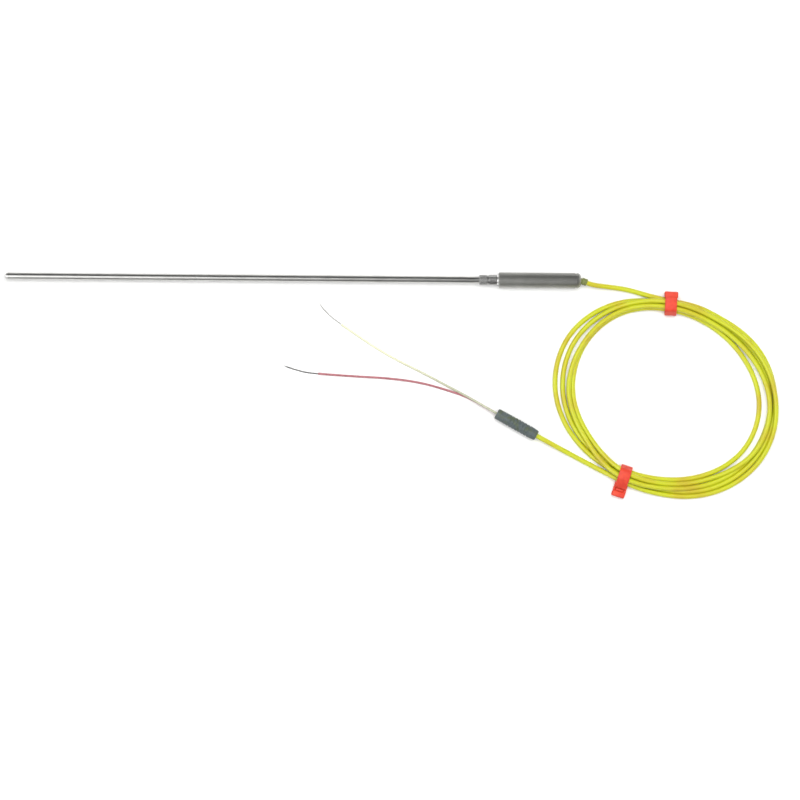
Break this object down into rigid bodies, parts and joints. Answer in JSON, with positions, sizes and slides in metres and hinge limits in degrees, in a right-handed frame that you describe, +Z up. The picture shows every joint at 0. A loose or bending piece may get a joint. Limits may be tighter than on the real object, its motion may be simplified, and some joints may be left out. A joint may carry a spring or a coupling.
{
  "type": "thermocouple",
  "caption": "Mineral-insulated thermocouple: a thin steel sheath, a crimped pot seal, a coiled yellow two-core lead held by ties, and bare tails.",
  "frame": {"origin": "on the sheath's axis at the front face of the crimp ferrule, where the immersed length ends", "axes": "+X along the probe from the tip towards the lead, +Z up from the surface that the thermocouple lies on, +Y across it, away from the coil"},
  "size_m": [0.3992, 0.1161, 0.008],
  "materials": {
    "sheath_steel": "bright drawn stainless steel",
    "weld_steel": "bright welded and ground end",
    "ferrule_steel": "turned stainless steel with crimp marks",
    "pot_steel": "satin drawn stainless steel",
    "junction_metal": "welded bead",
    "wire_positive": "nickel-chromium alloy wire",
    "wire_negative": "nickel-aluminium alloy wire",
    "mineral": "compacted magnesium oxide powder",
    "end_seal": "epoxy",
    "potting": "filled epoxy",
    "splice_metal": "tinned crimp sleeve",
    "splice_insulation": "PTFE sleeving",
    "bush_olive": "dark olive moulded sleeve",
    "jacket_yellow": "satin yellow jacket",
    "core_yellow": "pale yellow insulation",
    "core_red": "red insulation",
    "strands": "seven bare twisted strands",
    "tie_red": "coral red nylon",
    "sleeve_grey": "dark slate grey ribbed rubber"
  },
  "bodies": {
    "root": {"sheath_tube": "sheath_steel", "tip_weld": "weld_steel", "hot_junction_bead": "junction_metal", "thermoelement_positive": "wire_positive", "thermoelement_negative": "wire_negative", "mgo_insulation": "mineral", "sheath_end_seal": "end_seal", "crimp_ferrule": "ferrule_steel", "pot_body": "pot_steel", "cable_bush": "bush_olive", "potting_compound": "potting", "splice_positive": "splice_metal", "splice_negative": "splice_metal", "splice_sleeve_positive": "splice_insulation", "splice_sleeve_negative": "splice_insulation", "pot_core_positive": "core_yellow", "pot_core_negative": "core_red", "pot_conductor_positive": "strands", "pot_conductor_negative": "strands", "lead_entry": "jacket_yellow", "cable_coil": "jacket_yellow", "lead_tail": "jacket_yellow", "coil_tie_upper": "tie_red", "coil_tie_lower": "tie_red", "tail_sleeve": "sleeve_grey", "core_yellow": "core_yellow", "core_red": "core_red", "bare_end_yellow": "strands", "bare_end_red": "strands"}
  },
  "joints": []
}
